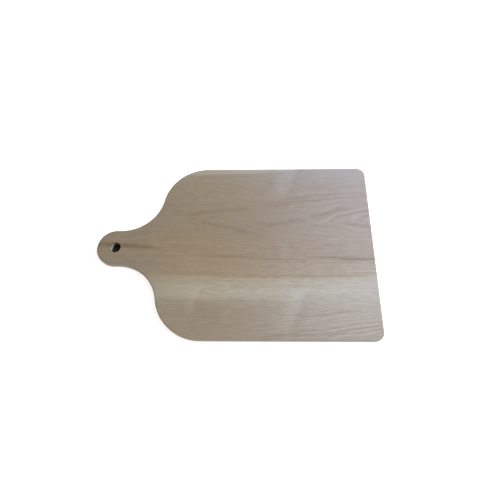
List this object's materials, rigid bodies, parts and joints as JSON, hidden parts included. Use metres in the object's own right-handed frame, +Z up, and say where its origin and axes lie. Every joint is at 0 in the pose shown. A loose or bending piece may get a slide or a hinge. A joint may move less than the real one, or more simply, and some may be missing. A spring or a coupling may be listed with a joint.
{
  "type": "wooden serving board",
  "caption": "Flat wooden serving board, glued up from staves, with rounded shoulders, a short rounded handle and a round hanging hole",
  "frame": {"origin": "Centre of the bounding box on the underside, where the board lies on the table", "axes": "+X runs along the length to the square end, so the handle points to -X; +Y runs across the width towards the wide stave; +Z is up out of the serving face"},
  "size_m": [0.43, 0.285, 0.012],
  "materials": {
    "brown_wood": "sanded hardwood, oiled matt, brown heartwood with cathedral grain",
    "pale_wood": "sanded hardwood, oiled matt, pale straight-grained sapwood",
    "wood_glue": "cured wood glue, thin brown line"
  },
  "bodies": {
    "root": {"wide_stave": "brown_wood", "narrow_stave": "brown_wood", "pale_stave": "pale_wood", "near_stave": "brown_wood", "glue_line_far": "wood_glue", "glue_line_middle": "wood_glue", "glue_line_near": "wood_glue"}
  },
  "joints": []
}
